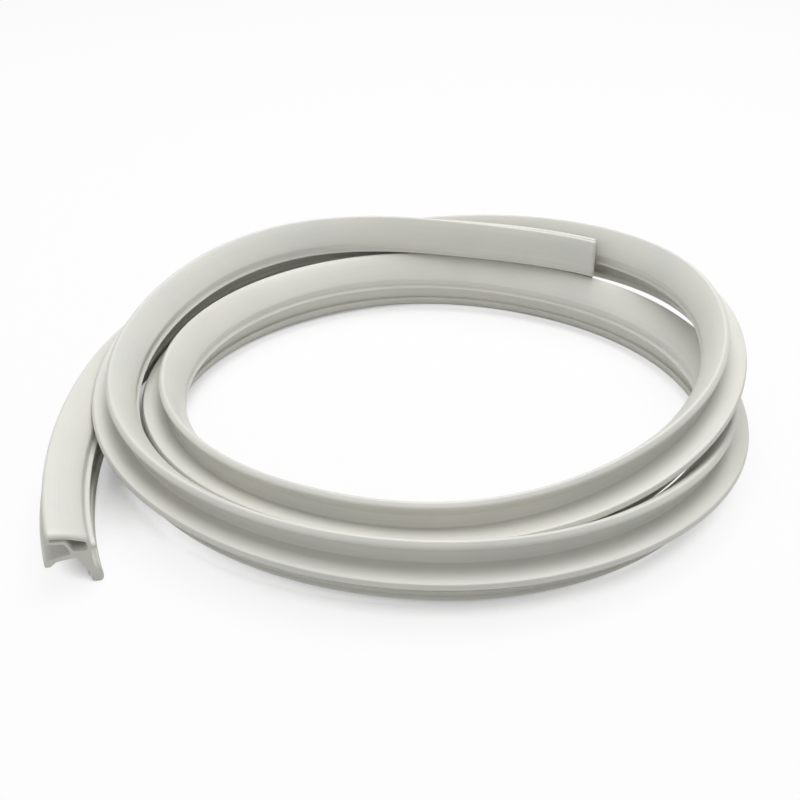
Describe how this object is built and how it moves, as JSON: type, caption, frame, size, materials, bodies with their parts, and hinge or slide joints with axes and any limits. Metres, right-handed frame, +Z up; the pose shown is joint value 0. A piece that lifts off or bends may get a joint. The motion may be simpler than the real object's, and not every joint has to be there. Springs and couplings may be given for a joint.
{
  "type": "door gasket",
  "caption": "Soft extruded door seal lying in a loose coil, with a hollow bulb and flat sealing face, a long lip, a short fin and a barbed push-in foot, cut across at both ends",
  "frame": {"origin": "On the floor, under the middle of the coil's bounding box", "axes": "+Z up, the coil's axis; -Y the side of the coil nearest the camera; +X to the right of the picture"},
  "size_m": [0.267, 0.2608, 0.053],
  "materials": {
    "elastomer": "satin light grey"
  },
  "bodies": {
    "root": {"door_gasket": "elastomer"}
  },
  "joints": []
}
